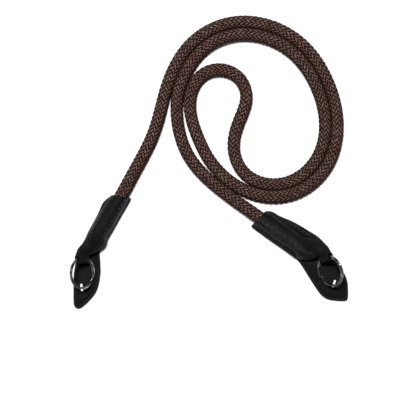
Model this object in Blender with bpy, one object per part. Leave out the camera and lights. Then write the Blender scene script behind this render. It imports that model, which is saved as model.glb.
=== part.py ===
# Camera neck strap: a braided rope laid in a flat double spiral, with a leather sleeve,
# a two-turn split ring and a leather guard pad at each end.
# Plan positions are millimetres from the middle of the two ends; Z is up from the table.

import math
from collections import namedtuple

import bmesh
import bpy
import numpy as np
from mathutils import Matrix, Vector

# ---------------------------------------------------------------- driving dimensions (mm)

MM = 0.001                    # metres in a millimetre
GAP = 0.3                     # clearance kept between neighbouring pieces

ROPE_DIAMETER = 7.4
ROPE_PITCH = 7.6              # centre to centre of strands that lie side by side
ROPE_REST = 3.72              # centre height of the rope where it lies on the table
ROPE_AT_MOUTH = 5.45          # centre height where it enters a sleeve
ROPE_AT_END = 7.2             # centre height of its hidden ends
ROPE_RAMP = 34.0              # length over which it climbs from the table to a mouth
ROPE_STEPS = 4                # tube segments between two route points

LEATHER = 1.4                 # one layer of sleeve leather
SLEEVE_FLANGE = 2 * LEATHER   # two layers stitched together
BULGE = ROPE_DIAMETER / 2 + GAP + LEATHER
BULGE_FALL = 3.0              # steepness of the bulge's sides, below its round part
CREASE = 1.6                  # softness of the hollow between rope bulge and flange
SEAM_EDGE = 0.5               # rounding of a cut edge
FOLD_EDGE = 2.4               # rounding of the folded edge
EDGE_LEAST = 0.45             # share of its thickness that the leather keeps at an edge
MOUTH_RUN = 8.0               # length by which the room for the rope passes the mouth
ROOM_SIDES = 20

PAD_THICK = 1.6
PAD_EDGE = 0.3                # bevel of the pad's edge
SLOT_WIDTH = 1.5
SLOT_LENGTH = 5.0
SLOT_END_STEPS = 6            # segments in each round end of the slot

RING_OUTER = 20.0             # outside diameter of the split ring
RING_WIRE = 1.3               # radial width of its flat wire
RING_TURN = 0.7               # thickness of one turn
RING_SPLIT = 0.16             # gap between the two turns
RING_JOG = math.radians(13)   # half angle over which the wire steps to the next turn
RING_STEPS = 44               # segments in a full turn
RING_CORNER = 0.20            # bevel of the wire's corners
RING_SEAT = 0.5               # how far back the ring sits in its loop, because it curves
RING_RADIUS = (RING_OUTER - RING_WIRE) / 2
RING_ENDS = math.radians(-150)   # where on the ring the wire's ends lie

LOOP_HALF = 4.2               # half width of the leather loop round the ring
LOOP_BORE = 1.8               # radius of the room inside the loop
LOOP_SKIN = 1.1               # its leather, thinned where it turns round the ring
LOOP_OUTER = LOOP_BORE + LOOP_SKIN
LOOP_LEAN = 48.0              # degrees by which loop and ring lean, stitched side down
LOOP_SIDES = 24
RING_DROP = (RING_OUTER / 2 * math.sin(math.radians(LOOP_LEAN))
             + (RING_TURN + RING_SPLIT / 2) * math.cos(math.radians(LOOP_LEAN)))
LOOP_HEIGHT = PAD_THICK + GAP + RING_DROP   # so the lower side of the ring is on the pad

# ---------------------------------------------------------------- rope route (mm, plan)

# From the rope's end in the left sleeve, up and over the outer lap, along the bottom.
OUTER_LAP = [
    (-69.6, 10.9), (-55.3, 34.9), (-48.4, 47.7), (-34.8, 74.7), (-26.0, 105.1),
    (-20.0, 118.3), (-11.5, 129.5), (12.4, 142.1), (37.4, 140.3), (57.7, 128.3),
    (72.3, 107.4), (78.9, 83.2), (75.1, 58.6), (57.9, 39.3), (36.5, 34.5), (16.4, 41.2),
]

# Up the middle, round the small loop and back down to the bottom.
SMALL_LOOP = [
    (-1.8, 59.5), (-7.6, 71.4), (-11.6, 83.5), (-10.8, 101.8), (-3.2, 111.0), (7.5, 113.2),
    (17.5, 108.6), (22.5, 97.6), (18.3, 82.0), (14.7, 64.5), (20.9, 49.7),
]

LAP_TURNS_BACK = (4, 14)      # stretch of the outer lap that the inner lap lies against

# From the left of the inner lap down to the rope's end in the right sleeve.
LAST_RUN = [(-20.1, 80.0), (-13.3, 59.8), (2.8, 41.9), (22.0, 27.6), (57.6, 3.0)]

# ---------------------------------------------------------------- sleeves (mm)

# seam and fold: plan places of the stitched edge and the folded edge; height: of the
# flange's middle; lean: degrees by which the folded edge is raised; layers: flange
# thickness; bulge and lift: radius of the rope's bulge and its centre above the flange's
# middle; shift: of the bulge towards the folded edge.
SleeveRow = namedtuple("SleeveRow", "seam fold height lean layers bulge lift shift")

LEFT_SLEEVE = [
    SleeveRow((-49.1, 33.5), (-60.8, 35.5), 1.45, 0, SLEEVE_FLANGE, BULGE, 3.9, 0.5),
    SleeveRow((-51.7, 28.8), (-65.6, 31.8), 1.65, 0, SLEEVE_FLANGE, BULGE, 3.9, -0.5),
    SleeveRow((-56.9, 20.3), (-68.7, 26.0), 2.25, 0, SLEEVE_FLANGE, BULGE, 3.9, -0.4),
    SleeveRow((-61.1, 13.0), (-72.1, 19.1), 2.90, 0, SLEEVE_FLANGE, BULGE, 3.9, 0.0),
    SleeveRow((-63.8, 8.2), (-74.7, 14.3), 3.40, 0, SLEEVE_FLANGE, BULGE, 3.9, 0.1),
    SleeveRow((-65.6, 4.6), (-76.9, 9.8), 4.10, 7, SLEEVE_FLANGE, 8.0, -0.9, 0.2),
    SleeveRow((-69.0, 1.6), (-78.9, 5.7), 5.60, 18, SLEEVE_FLANGE, 8.0, -3.6, 0.4),
    SleeveRow((-73.0, -0.7), (-80.9, 2.1), 7.90, 34, 3.6, 7.0, -4.6, 0.0),
]

RIGHT_SLEEVE = [
    SleeveRow((25.5, 16.0), (34.6, 25.4), 1.45, 0, SLEEVE_FLANGE, BULGE, 3.9, 1.0),
    SleeveRow((27.4, 14.5), (38.0, 25.2), 1.55, 0, SLEEVE_FLANGE, BULGE, 3.9, 0.2),
    SleeveRow((29.8, 12.7), (41.7, 23.3), 1.70, 0, SLEEVE_FLANGE, BULGE, 3.9, 0.1),
    SleeveRow((37.4, 7.3), (48.3, 20.3), 2.30, 0, SLEEVE_FLANGE, BULGE, 3.9, -0.5),
    SleeveRow((45.4, 1.9), (55.9, 16.5), 2.90, 0, SLEEVE_FLANGE, BULGE, 3.9, -1.0),
    SleeveRow((50.9, -2.1), (61.6, 13.0), 3.30, 0, SLEEVE_FLANGE, BULGE, 3.9, -1.1),
    SleeveRow((55.0, -4.4), (66.5, 9.9), 3.90, 6, SLEEVE_FLANGE, 8.5, -0.9, -0.6),
    SleeveRow((60.3, -5.0), (70.0, 6.5), 5.30, 16, SLEEVE_FLANGE, 8.5, -3.7, 0.0),
    SleeveRow((65.1, -3.7), (72.5, 3.0), 7.60, 32, 3.6, 7.0, -4.5, 0.0),
]

SECTION_PLACES = (-1.0, -0.95, -0.82, -0.66, -0.52, -0.38, -0.25, -0.12, 0.0,
                  0.12, 0.25, 0.38, 0.52, 0.66, 0.82, 0.95, 1.0)
LOOP_ANGLES = (-36, -14, 10, 34, 56, 72, 84)   # places round the loop's outer curve

# ---------------------------------------------------------------- loops, rings and pads

# axle: plan place of the loop's axis; heading: plan direction from sleeve to ring.
End = namedtuple("End", "name sleeve axle heading seam_side pad slot slot_turn")

LEFT_PAD = [
    (-68.6, 7.6), (-68.8, 1.2), (-68.4, -6.0), (-68.2, -13.0), (-69.4, -20.6),
    (-72.0, -26.6), (-77.2, -32.4), (-80.6, -34.9), (-82.8, -35.2), (-84.4, -33.9),
    (-85.0, -31.0), (-85.0, -22.0), (-84.7, -13.0), (-83.2, -5.0), (-80.2, 2.4),
    (-77.0, 8.6), (-74.8, 9.4),
]

RIGHT_PAD = [
    (53.6, -3.6), (57.2, -8.8), (61.8, -16.2), (66.6, -23.6), (69.4, -27.0),
    (72.8, -29.3), (77.0, -30.2), (83.2, -30.6), (85.3, -29.8), (85.94, -27.6),
    (85.94, -23.2), (85.6, -18.6), (83.6, -13.6), (80.4, -8.2), (76.6, -2.8),
    (71.6, 2.2), (64.0, 3.6), (58.0, 2.0), (54.6, -0.6),
]

ENDS = [
    End("left", LEFT_SLEEVE, (-78.8, -3.9), -90.0, 1, LEFT_PAD, (-80.0, -22.0), 8.0),
    End("right", RIGHT_SLEEVE, (71.4, -3.1), -71.0, -1, RIGHT_PAD, (77.2, -19.6), -18.0),
]

# ---------------------------------------------------------------- looks

ROPE_COLOUR = (0.080, 0.042, 0.036)
LEATHER_COLOUR = (0.012, 0.013, 0.012)
STEEL_COLOUR = (0.62, 0.62, 0.60)
SHARP_ANGLE = math.radians(35)   # a rounded piece keeps edges sharper than this


def make_material(name, colour, roughness, metallic):
    material = bpy.data.materials.new(name)
    material.use_nodes = True
    shader = material.node_tree.nodes["Principled BSDF"]
    shader.inputs["Base Color"].default_value = (*colour, 1.0)
    shader.inputs["Roughness"].default_value = roughness
    shader.inputs["Metallic"].default_value = metallic
    return material


def add_object(name, data, material=None):
    item = bpy.data.objects.new(name, data)
    bpy.context.scene.collection.objects.link(item)
    if material:
        data.materials.append(material)
    return item


def mesh_from(bm, name, rounded=True):
    bmesh.ops.recalc_face_normals(bm, faces=bm.faces[:])
    mesh = bpy.data.meshes.new(name)
    bm.to_mesh(mesh)
    bm.free()
    if rounded:
        mesh.shade_smooth()
        mesh.set_sharp_from_angle(angle=SHARP_ANGLE)
    return mesh


def loft(sections, closed=False):
    # Skin a row of point loops; an open row is capped at both ends.
    bm = bmesh.new()
    rings = [[bm.verts.new(Vector(point) * MM) for point in section] for section in sections]
    pairs = list(zip(rings, rings[1:]))
    if closed:
        pairs.append((rings[-1], rings[0]))
    for near, far in pairs:
        for k in range(len(near)):
            after = (k + 1) % len(near)
            bm.faces.new((near[k], near[after], far[after], far[k]))
    if not closed:
        bm.faces.new(rings[0][::-1])
        bm.faces.new(rings[-1])
    return bm


def cut_with(item, cutter):
    cutter.hide_render = True
    cutter.display_type = "WIRE"
    cut = item.modifiers.new("cut", "BOOLEAN")
    cut.operation = "DIFFERENCE"
    cut.solver = "EXACT"
    cut.object = cutter


# ---------------------------------------------------------------- rope

def beside(points, index, distance):
    # The place beside points[index], on the inner side of a clockwise lap.
    before, here, after = (Vector(points[index + step]) for step in (-1, 0, 1))
    along = ((here - before).normalized() + (after - here).normalized()).normalized()
    return here + Vector((along.y, -along.x)) * distance


def route_points():
    lap = OUTER_LAP + SMALL_LOOP[:1]
    first, last = LAP_TURNS_BACK
    inner_lap = [tuple(beside(lap, k, ROPE_PITCH)) for k in range(last, first - 1, -1)]
    return OUTER_LAP + SMALL_LOOP + inner_lap + LAST_RUN


def smooth_through(points, steps):
    # A natural cubic spline through the points, read at equal steps between them.
    knots = np.array(points, dtype=float)
    count = len(knots)
    spans = np.linalg.norm(np.diff(knots, axis=0), axis=1)
    system = np.eye(count)
    change = np.zeros_like(knots)
    for k in range(1, count - 1):
        system[k, k - 1] = spans[k - 1]
        system[k, k] = 2 * (spans[k - 1] + spans[k])
        system[k, k + 1] = spans[k]
        ahead = (knots[k + 1] - knots[k]) / spans[k]
        behind = (knots[k] - knots[k - 1]) / spans[k - 1]
        change[k] = 6 * (ahead - behind)
    bend = np.linalg.solve(system, change)
    read = []
    for k in range(count - 1):
        for step in range(steps):
            to_next = spans[k] * (1 - step / steps)
            to_last = spans[k] * step / steps
            curve = (bend[k] * to_next ** 3 + bend[k + 1] * to_last ** 3) / (6 * spans[k])
            start = (knots[k] / spans[k] - bend[k] * spans[k] / 6) * to_next
            end = (knots[k + 1] / spans[k] - bend[k + 1] * spans[k] / 6) * to_last
            read.append(curve + start + end)
    read.append(knots[-1])
    return read


def height_at(from_end, hidden):
    # Rope height at a distance from its end: straight while it is hidden in the sleeve,
    # then a ramp that starts at the same slope and ends level on the table.
    slope = (ROPE_AT_MOUTH - ROPE_AT_END) / hidden
    if from_end <= hidden:
        return ROPE_AT_END + slope * from_end
    t = min((from_end - hidden) / ROPE_RAMP, 1.0)
    drop = ROPE_AT_MOUTH - ROPE_REST
    ease = drop * (1 - t * t * (3 - 2 * t))
    return ROPE_REST + ease + slope * ROPE_RAMP * t * (1 - t) ** 2


def rope_line():
    knots = route_points()
    plan = smooth_through(knots, ROPE_STEPS)
    travelled = np.concatenate([[0], np.cumsum(np.linalg.norm(np.diff(plan, axis=0), axis=1))])
    left_hidden = (Vector(knots[1]) - Vector(knots[0])).length
    right_mouth = (Vector(RIGHT_SLEEVE[0].seam) + Vector(RIGHT_SLEEVE[0].fold)) / 2
    right_hidden = (right_mouth - Vector(knots[-1])).length
    line = []
    for point, distance in zip(plan, travelled):
        height = max(height_at(distance, left_hidden),
                     height_at(travelled[-1] - distance, right_hidden))
        line.append(Vector((point[0], point[1], height)))
    return line


def make_rope(line, material):
    curve = bpy.data.curves.new("rope", "CURVE")
    curve.dimensions = "3D"
    curve.twist_mode = "Z_UP"
    curve.bevel_depth = ROPE_DIAMETER / 2 * MM
    curve.bevel_resolution = 4
    curve.use_fill_caps = True
    spline = curve.splines.new("POLY")
    spline.points.add(len(line) - 1)
    for knot, place in zip(spline.points, line):
        knot.co = (*(place * MM), 1.0)
    return add_object("rope", curve, material)


def tube(points, radius, sides):
    # Closed round bar along the points, each section square to the way it runs.
    sections = []
    for k, point in enumerate(points):
        along = (points[min(k + 1, len(points) - 1)] - points[max(k - 1, 0)]).normalized()
        across = along.cross(Vector((0, 0, 1))).normalized()
        upward = across.cross(along)
        ring = []
        for side in range(sides):
            angle = 2 * math.pi * side / sides
            ring.append(point + (across * math.cos(angle) + upward * math.sin(angle)) * radius)
        sections.append(ring)
    return loft(sections)


# ---------------------------------------------------------------- sleeves

def soft_max(a, b):
    return (a + b + math.sqrt((a - b) ** 2 + CREASE ** 2)) / 2


def bulge_top(row, across):
    away = across - row.shift
    if abs(away) < row.bulge:
        return row.lift + math.sqrt(row.bulge ** 2 - away ** 2)
    return row.lift - BULGE_FALL * (abs(away) - row.bulge)


def edge_share(half, across, round_fold):
    # How much of its thickness the leather keeps near its two edges.
    rounding = round_fold if across > 0 else SEAM_EDGE
    inward = half - abs(across)
    if inward >= rounding:
        return 1.0
    return max(math.sqrt(1 - ((rounding - inward) / rounding) ** 2), EDGE_LEAST)


def sleeve_section(row):
    seam, fold = Vector(row.seam), Vector(row.fold)
    lean = math.radians(row.lean)
    cross = (fold - seam).normalized()
    half = (fold - seam).length / 2 / math.cos(lean)
    middle = Vector((*((seam + fold) / 2), row.height))
    side = Vector((cross.x * math.cos(lean), cross.y * math.cos(lean), math.sin(lean)))
    up = Vector((-cross.x * math.sin(lean), -cross.y * math.sin(lean), math.cos(lean)))
    round_fold = FOLD_EDGE if row.layers == SLEEVE_FLANGE else SEAM_EDGE
    under, over = [], []
    for place in SECTION_PLACES:
        across = place * half
        low = -row.layers / 2
        high = row.layers / 2
        if row.bulge:
            high = soft_max(high, bulge_top(row, across))
        centre = (low + high) / 2
        share = edge_share(half, across, round_fold)
        under.append(middle + side * across + up * (centre + (low - centre) * share))
        over.append(middle + side * across + up * (centre + (high - centre) * share))
    return under + over[::-1]


def loop_rows(end):
    heading = math.radians(end.heading)
    ahead = Vector((math.cos(heading), math.sin(heading)))
    to_fold = Vector((-ahead.y, ahead.x)) * -end.seam_side
    half = LOOP_HALF * math.cos(math.radians(LOOP_LEAN))
    rows = []
    for degrees in LOOP_ANGLES:
        angle = math.radians(degrees)
        middle = Vector(end.axle) + ahead * LOOP_OUTER * math.sin(angle)
        thick = 2 * LOOP_OUTER * math.cos(angle)
        seam, fold = middle - to_fold * half, middle + to_fold * half
        rows.append(SleeveRow(seam, fold, LOOP_HEIGHT, LOOP_LEAN, thick, 0, 0, 0))
    return rows


def loop_frame(end):
    # X along the loop's axis towards the folded edge, Y from ring to sleeve, at the axis.
    heading = math.radians(end.heading)
    ahead = Vector((math.cos(heading), math.sin(heading), 0))
    to_fold = Vector((-ahead.y, ahead.x, 0)) * -end.seam_side
    lean = math.radians(LOOP_LEAN)
    x_axis = to_fold * math.cos(lean) + Vector((0, 0, math.sin(lean)))
    y_axis = -ahead
    z_axis = x_axis.cross(y_axis)
    turn = Matrix((x_axis, y_axis, z_axis)).transposed()
    return Matrix.Translation(Vector((*end.axle, LOOP_HEIGHT)) * MM) @ turn.to_4x4()


def make_sleeve(end, rope_end, material):
    rows = end.sleeve + loop_rows(end)
    shell = loft([sleeve_section(row) for row in rows])
    sleeve = add_object("sleeve_" + end.name, mesh_from(shell, "sleeve_" + end.name), material)
    along = (rope_end[0] - rope_end[1]).normalized()
    outward = (rope_end[-1] - rope_end[-2]).normalized()
    path = [rope_end[0] + along * GAP] + rope_end[1:] + [rope_end[-1] + outward * MOUTH_RUN]
    room = tube(path, ROPE_DIAMETER / 2 + GAP, ROOM_SIDES)
    cut_with(sleeve, add_object("room_" + end.name, mesh_from(room, "room_" + end.name)))
    reach = LOOP_HALF + LOOP_OUTER
    bar = tube([Vector((0, -reach, 0)), Vector((0, reach, 0))], LOOP_BORE, LOOP_SIDES)
    bore = add_object("bore_" + end.name, mesh_from(bar, "bore_" + end.name))
    bore.matrix_world = loop_frame(end) @ Matrix.Rotation(math.radians(90), 4, "Z")
    cut_with(sleeve, bore)
    return sleeve


# ---------------------------------------------------------------- split rings

def wire_corners():
    # The flat wire's section: radial and axial offsets, corners cut.
    wide, thick, corner = RING_WIRE / 2, RING_TURN / 2, RING_CORNER
    return [(wide, corner - thick), (wide, thick - corner), (wide - corner, thick),
            (corner - wide, thick), (-wide, thick - corner), (-wide, corner - thick),
            (corner - wide, -thick), (wide - corner, -thick)]


def ring_level(angle):
    # Height of the wire's middle: the lower turn, a smooth step, then the upper turn.
    level = (RING_TURN + RING_SPLIT) / 2
    t = (angle - 2 * math.pi + RING_JOG) / (2 * RING_JOG)
    t = min(max(t, 0.0), 1.0)
    return level * (2 * t * t * (3 - 2 * t) - 1)


def make_ring(end, material):
    start, stop = RING_JOG, 4 * math.pi - RING_JOG
    count = round(RING_STEPS * (stop - start) / (2 * math.pi))
    sections = []
    for k in range(count + 1):
        angle = start + (stop - start) * k / count
        outward = Vector((math.cos(angle), math.sin(angle), 0))
        middle = outward * RING_RADIUS + Vector((0, 0, ring_level(angle)))
        sections.append([middle + outward * r + Vector((0, 0, z)) for r, z in wire_corners()])
    name = "ring_" + end.name
    ring = add_object(name, mesh_from(loft(sections), name), material)
    hinge = bpy.data.objects.new(name + "_hinge", None)
    bpy.context.scene.collection.objects.link(hinge)
    hinge.matrix_world = loop_frame(end)
    ring.parent = hinge
    ring.location = Vector((0, RING_SEAT - RING_RADIUS, 0)) * MM
    ring.rotation_euler = (0, 0, RING_ENDS)
    return ring


# ---------------------------------------------------------------- pads

def slot_rim():
    # A slot with round ends, along Y.
    round_end = SLOT_WIDTH / 2
    straight = SLOT_LENGTH / 2 - round_end
    rim = []
    for middle, first_angle in ((straight, 0), (-straight, math.pi)):
        for step in range(SLOT_END_STEPS + 1):
            angle = first_angle + math.pi * step / SLOT_END_STEPS
            rim.append((math.cos(angle) * round_end, middle + math.sin(angle) * round_end))
    return rim


def make_pad(end, material):
    name = "pad_" + end.name
    outline = end.pad
    centre = sum((Vector(point) for point in outline), Vector((0, 0))) / len(outline)
    inset = []
    for point in outline:
        inward = (centre - Vector(point)).normalized()
        inset.append(Vector(point) + inward * PAD_EDGE)
    levels = ((inset, 0.0), (outline, PAD_EDGE), (outline, PAD_THICK - PAD_EDGE), (inset, PAD_THICK))
    sections = [[Vector((point[0], point[1], z)) for point in ring] for ring, z in levels]
    pad = add_object(name, mesh_from(loft(sections), name, rounded=False), material)
    plug = loft([[(x, y, z) for x, y in slot_rim()] for z in (-PAD_THICK, 2 * PAD_THICK)])
    cutter = add_object("slot_" + end.name, mesh_from(plug, "slot_" + end.name, rounded=False))
    cutter.location = Vector((*end.slot, 0)) * MM
    cutter.rotation_euler = (0, 0, math.radians(end.slot_turn))
    cut_with(pad, cutter)
    return pad


# ---------------------------------------------------------------- the strap

def build():
    for item in list(bpy.data.objects):
        bpy.data.objects.remove(item, do_unlink=True)
    braid = make_material("braid", ROPE_COLOUR, 0.6, 0.0)
    leather = make_material("leather", LEATHER_COLOUR, 0.5, 0.0)
    steel = make_material("steel", STEEL_COLOUR, 0.2, 1.0)
    line = rope_line()
    make_rope(line, braid)
    rope_ends = (line[:ROPE_STEPS + 1], line[::-1][:ROPE_STEPS + 1])
    for end, rope_end in zip(ENDS, rope_ends):
        make_sleeve(end, rope_end, leather)
        make_ring(end, steel)
        make_pad(end, leather)


build()
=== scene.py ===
# Camera neck strap: a braided rope laid in a flat double spiral, with a leather sleeve,
# a split ring and a leather guard pad at each end. Metres throughout; Z is up.
import math

import bmesh
import bpy
import numpy as np
from mathutils import Matrix, Vector


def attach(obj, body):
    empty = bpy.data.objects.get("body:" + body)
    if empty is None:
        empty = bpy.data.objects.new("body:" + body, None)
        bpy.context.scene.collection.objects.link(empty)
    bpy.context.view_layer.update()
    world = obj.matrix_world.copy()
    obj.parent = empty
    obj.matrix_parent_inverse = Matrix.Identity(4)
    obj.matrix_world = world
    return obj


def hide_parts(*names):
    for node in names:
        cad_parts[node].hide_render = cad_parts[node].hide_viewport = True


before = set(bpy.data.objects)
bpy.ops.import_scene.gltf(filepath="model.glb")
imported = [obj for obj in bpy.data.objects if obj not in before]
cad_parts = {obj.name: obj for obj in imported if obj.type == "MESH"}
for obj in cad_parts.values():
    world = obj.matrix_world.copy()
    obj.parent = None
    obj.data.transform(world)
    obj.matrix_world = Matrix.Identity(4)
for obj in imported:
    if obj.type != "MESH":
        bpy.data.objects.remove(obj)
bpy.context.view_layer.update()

up = Vector((0, 0, 1))

cameraView = dict(
    middle=(-0.00124, 0.02728),   # plan place at the middle of the picture
    subject=0.005,                # height at which the picture's width is taken
    distance=0.9,                 # above that height, looking straight down
    width=0.2579,                 # what the picture covers there
    sensor=36.0,                  # millimetres
)


def placeCamera(view):
    data = bpy.data.cameras.new("photoCamera")
    data.sensor_width = view["sensor"]
    data.lens = view["sensor"] * view["distance"] / view["width"]
    item = bpy.data.objects.new("photoCamera", data)
    item.location = (*view["middle"], view["subject"] + view["distance"])
    bpy.context.scene.collection.objects.link(item)
    bpy.context.scene.camera = item


placeCamera(cameraView)
print("camera placed")


def addNode(tree, kind, inputs=None, **settings):
    node = tree.nodes.new(kind)
    for name, value in settings.items():
        setattr(node, name, value)
    for socket, value in (inputs or {}).items():
        if isinstance(value, bpy.types.NodeSocket):
            tree.links.new(value, node.inputs[socket])
        else:
            node.inputs[socket].default_value = value
    return node


def addRamp(tree, factor, places, colours):
    ramp = addNode(tree, "ShaderNodeValToRGB", {"Fac": factor})
    marks = ramp.color_ramp.elements
    while len(marks) < len(places):
        marks.new(1.0)
    for mark, place, colour in zip(marks, places, colours):
        mark.position = place
        mark.color = (*colour, 1.0)
    return ramp.outputs["Color"]


def addMath(tree, operation, first, second=0.0, clamped=False):
    return addNode(tree, "ShaderNodeMath", {0: first, 1: second},
                   operation=operation, use_clamp=clamped).outputs[0]


def addSum(tree, first, firstShare, second, secondShare):
    return addMath(tree, "ADD", addMath(tree, "MULTIPLY", first, firstShare),
                   addMath(tree, "MULTIPLY", second, secondShare))


def addNoise(tree, place, scale, detail, **more):
    return addNode(tree, "ShaderNodeTexNoise", {"Vector": place, "Scale": scale, "Detail": detail,
                                                **more}).outputs["Fac"]


def addRange(tree, value, ends, results=(0.0, 1.0), kind="LINEAR"):
    return addNode(tree, "ShaderNodeMapRange", {
        "Value": value, "From Min": ends[0], "From Max": ends[1],
        "To Min": results[0], "To Max": results[1]}, interpolation_type=kind).outputs[0]


def addBump(tree, height, strength, distance, **more):
    return addNode(tree, "ShaderNodeBump", {"Height": height, "Strength": strength,
                                            "Distance": distance, **more}).outputs[0]


def newMaterial(name, **values):
    material = bpy.data.materials.new(name)
    material.use_nodes = True
    shader = material.node_tree.nodes["Principled BSDF"]
    for socket, value in values.items():
        shader.inputs[socket.replace("_", " ")].default_value = value
    return material, material.node_tree, shader


def gridFaces(rows, columns, first=0, wrapped=False):
    # Quads over a grid of points that are numbered row by row.
    steps = np.arange(columns if wrapped else columns - 1)
    near = first + np.arange(rows - 1)[:, None] * columns + steps
    after = first + np.arange(rows - 1)[:, None] * columns + (steps + 1) % columns
    return np.stack([near, after, after + columns, near + columns], axis=-1).reshape(-1, 4)


def pieceFrom(name, points, faces, material, uv=None):
    mesh = bpy.data.meshes.new(name)
    mesh.from_pydata(np.reshape(points, (-1, 3)).tolist(), [], [list(f) for f in faces])
    if uv is not None:
        corners = np.concatenate([np.asarray(f) for f in faces])
        layer = mesh.uv_layers.new(name="lay")
        layer.data.foreach_set("uv", np.reshape(uv, (-1, 2))[corners].ravel())
    mesh.shade_smooth()
    mesh.materials.append(material)
    item = bpy.data.objects.new(name, mesh)
    bpy.context.scene.collection.objects.link(item)
    return item


def smoothThrough(points, steps, weights=1.0):
    # A natural cubic spline through the points, read at equal steps between them.
    knots = np.array(points, dtype=float)
    spans = np.linalg.norm(np.diff(knots, axis=0) * weights, axis=1)[:, None]
    rise = np.diff(knots, axis=0) / spans
    system = np.eye(len(knots))
    change = np.zeros_like(knots)
    for k in range(1, len(knots) - 1):
        system[k, k - 1:k + 2] = spans[k - 1, 0], 2 * (spans[k - 1, 0] + spans[k, 0]), spans[k, 0]
        change[k] = 6 * (rise[k] - rise[k - 1])
    bend = np.linalg.solve(system, change)
    read = []
    for k, span in enumerate(spans):
        gone = np.arange(steps)[:, None] / steps * span
        left = span - gone
        read.append((bend[k] * left ** 3 + bend[k + 1] * gone ** 3) / (6 * span)
                    + (knots[k] / span - bend[k] * span / 6) * left
                    + (knots[k + 1] / span - bend[k + 1] * span / 6) * gone)
    return np.concatenate(read + [knots[-1:]])


def lengthsAlong(points):
    return np.concatenate([[0], np.cumsum(np.linalg.norm(np.diff(points, axis=0), axis=1))])


rope = dict(
    diameter=0.0074,
    length=0.87,
    pitch=0.0076,             # between strands that lie side by side
    restHeight=0.00372,
    mouthHeight=0.00545,
    endHeight=0.0072,
    ramp=0.034,               # length over which it climbs from the table to a sleeve
    turnsBack=(4, 14),        # stretch of the outer lap that the inner lap lies against
    stepsPerKnot=40,
    pathStep=4,               # sections between the points of the path that is handed on
    rightMouth=(0.03005, 0.0207),
    outerLap=[
        (-0.0696, 0.0109), (-0.0553, 0.0349), (-0.0484, 0.0477), (-0.0348, 0.0747),
        (-0.0260, 0.1051), (-0.0200, 0.1183), (-0.0115, 0.1295), (0.0124, 0.1421),
        (0.0374, 0.1403), (0.0577, 0.1283), (0.0723, 0.1074), (0.0789, 0.0832),
        (0.0751, 0.0586), (0.0579, 0.0393), (0.0365, 0.0345), (0.0164, 0.0412),
    ],
    smallLoop=[
        (-0.0018, 0.0595), (-0.0076, 0.0714), (-0.0116, 0.0835), (-0.0108, 0.1018),
        (-0.0032, 0.1110), (0.0075, 0.1132), (0.0175, 0.1086), (0.0225, 0.0976),
        (0.0183, 0.0820), (0.0147, 0.0645), (0.0209, 0.0497),
    ],
    lastRun=[
        (-0.0201, 0.0800), (-0.0133, 0.0598), (0.0028, 0.0419), (0.0220, 0.0276),
        (0.0576, 0.0030),
    ],
)


def ropeKnots():
    lap = np.array(rope["outerLap"] + rope["smallLoop"][:1])
    first, last = rope["turnsBack"]
    innerLap = []
    for k in range(last, first - 1, -1):
        behind, ahead = lap[k] - lap[k - 1], lap[k + 1] - lap[k]
        along = behind / np.linalg.norm(behind) + ahead / np.linalg.norm(ahead)
        inward = np.array((along[1], -along[0])) / np.linalg.norm(along)
        innerLap.append(lap[k] + inward * rope["pitch"])
    return np.array(rope["outerLap"] + rope["smallLoop"] + innerLap + rope["lastRun"])


def ropeHeight(fromEnd, hidden):
    # Straight while it is hidden in the sleeve, then a ramp that ends level on the table.
    slope = (rope["mouthHeight"] - rope["endHeight"]) / hidden
    t = np.clip((fromEnd - hidden) / rope["ramp"], 0, 1)
    drop = (rope["mouthHeight"] - rope["restHeight"]) * (1 - t * t * (3 - 2 * t))
    ramp = rope["restHeight"] + drop + slope * rope["ramp"] * t * (1 - t) ** 2
    return np.where(fromEnd <= hidden, rope["endHeight"] + slope * fromEnd, ramp)


def ropeLine(sections):
    knots = ropeKnots()
    plan = smoothThrough(knots, rope["stepsPerKnot"])
    travelled = lengthsAlong(plan)
    leftHidden = np.linalg.norm(knots[1] - knots[0])
    rightHidden = np.linalg.norm(np.array(rope["rightMouth"]) - knots[-1])
    height = np.maximum(ropeHeight(travelled, leftHidden),
                        ropeHeight(travelled[-1] - travelled, rightHidden))
    line = np.column_stack([plan, height])
    travelled = lengthsAlong(line)
    even = np.linspace(0, travelled[-1], sections)
    return np.column_stack([np.interp(even, travelled, line[:, k]) for k in range(3)]), even


braid = dict(
    yarnsEachWay=12,
    lay=math.radians(31.6),   # angle between a yarn and the rope
    sections=2060,            # along the whole rope, for each yarn
    width=0.00140,
    thickness=0.00058,
    middle=0.00344,           # radius about which a yarn weaves over and under
    rise=0.00022,
    squareness=1.9,           # how quickly a yarn changes from over to under
    core=0.00322,
    settles=0.0007,           # below this height the rope flattens on what it lies on
    coreSides=28,
    coreStep=4,               # a yarn's sections between two of the core's
    wander=0.30,              # radians by which the columns drift round the rope
    wanderEvery=0.31,
    unevenness=0.00005,       # of the yarns' height, in waves of two lengths
    unevenWaves=(1900, 347),
    unevenShift=2.4,          # how far one yarn's waves stand from the next one's
    profile=((-0.5, -0.5), (-0.29, 0.22), (0.0, 0.5), (0.29, 0.22), (0.5, -0.5)),
    mapWidth=0.96,            # each yarn's share of its unit on the map, which counts the yarns
    mapLength=1000,           # units along it for each metre
)

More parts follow.
